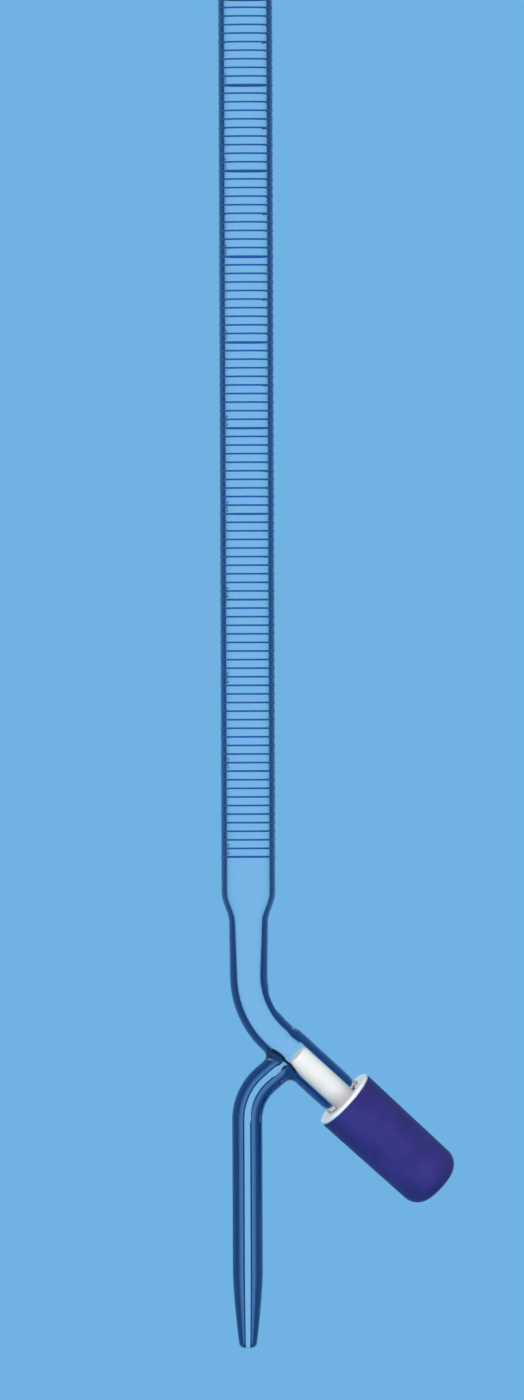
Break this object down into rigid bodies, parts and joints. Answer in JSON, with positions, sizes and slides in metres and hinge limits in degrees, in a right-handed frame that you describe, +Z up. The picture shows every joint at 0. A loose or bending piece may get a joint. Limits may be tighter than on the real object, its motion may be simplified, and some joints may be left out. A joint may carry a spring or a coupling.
{
  "type": "glass burette",
  "caption": "Clear glass burette with a graduated tube, an inclined screw needle valve turned by an indigo cap, and a drawn delivery jet.",
  "frame": {"origin": "on the tube's axis, at the lower end of the tube's straight wall, where the shoulder starts", "axes": "+Z up the tube towards the mouth, +X towards the side that the valve's cap points to; the lines face -Y"},
  "size_m": [0.0471, 0.0132, 0.5854],
  "materials": {
    "glass": "clear, fire-polished borosilicate glass",
    "enamel": "fired dark blue enamel",
    "ptfe": "turned white PTFE, waxy",
    "seal": "black elastomer",
    "insert": "moulded white plastic",
    "cap": "moulded indigo plastic, satin"
  },
  "bodies": {
    "glass": {"graduated_tube": "glass", "drawn_neck": "glass", "inlet_bend": "glass", "valve_barrel": "glass", "barrel_thread": "glass", "jet_bend": "glass", "delivery_jet": "glass", "minor_lines": "enamel", "half_lines": "enamel", "major_lines": "enamel"},
    "needle": {"plunger": "ptfe", "front_o_ring": "seal", "rear_o_ring": "seal"},
    "cap": {"thread_insert": "insert", "insert_thread": "insert", "screw_cap": "cap"}
  },
  "joints": [
    {"name": "needle_travel", "type": "slide", "parent": "glass", "child": "needle", "axis": [0.7431, 0, -0.6691], "range_m": [-0.00225, 0.0015]},
    {"name": "cap_turn", "type": "hinge", "parent": "needle", "child": "cap", "pos_m": [0.02973, 0, -0.05071], "axis": [0.7431, 0, -0.6691], "range_deg": [-540, 360]}
  ],
  "couplings": [
    {"joint": "needle_travel", "follows": "cap_turn", "m_per_rad": 0.00023873}
  ]
}
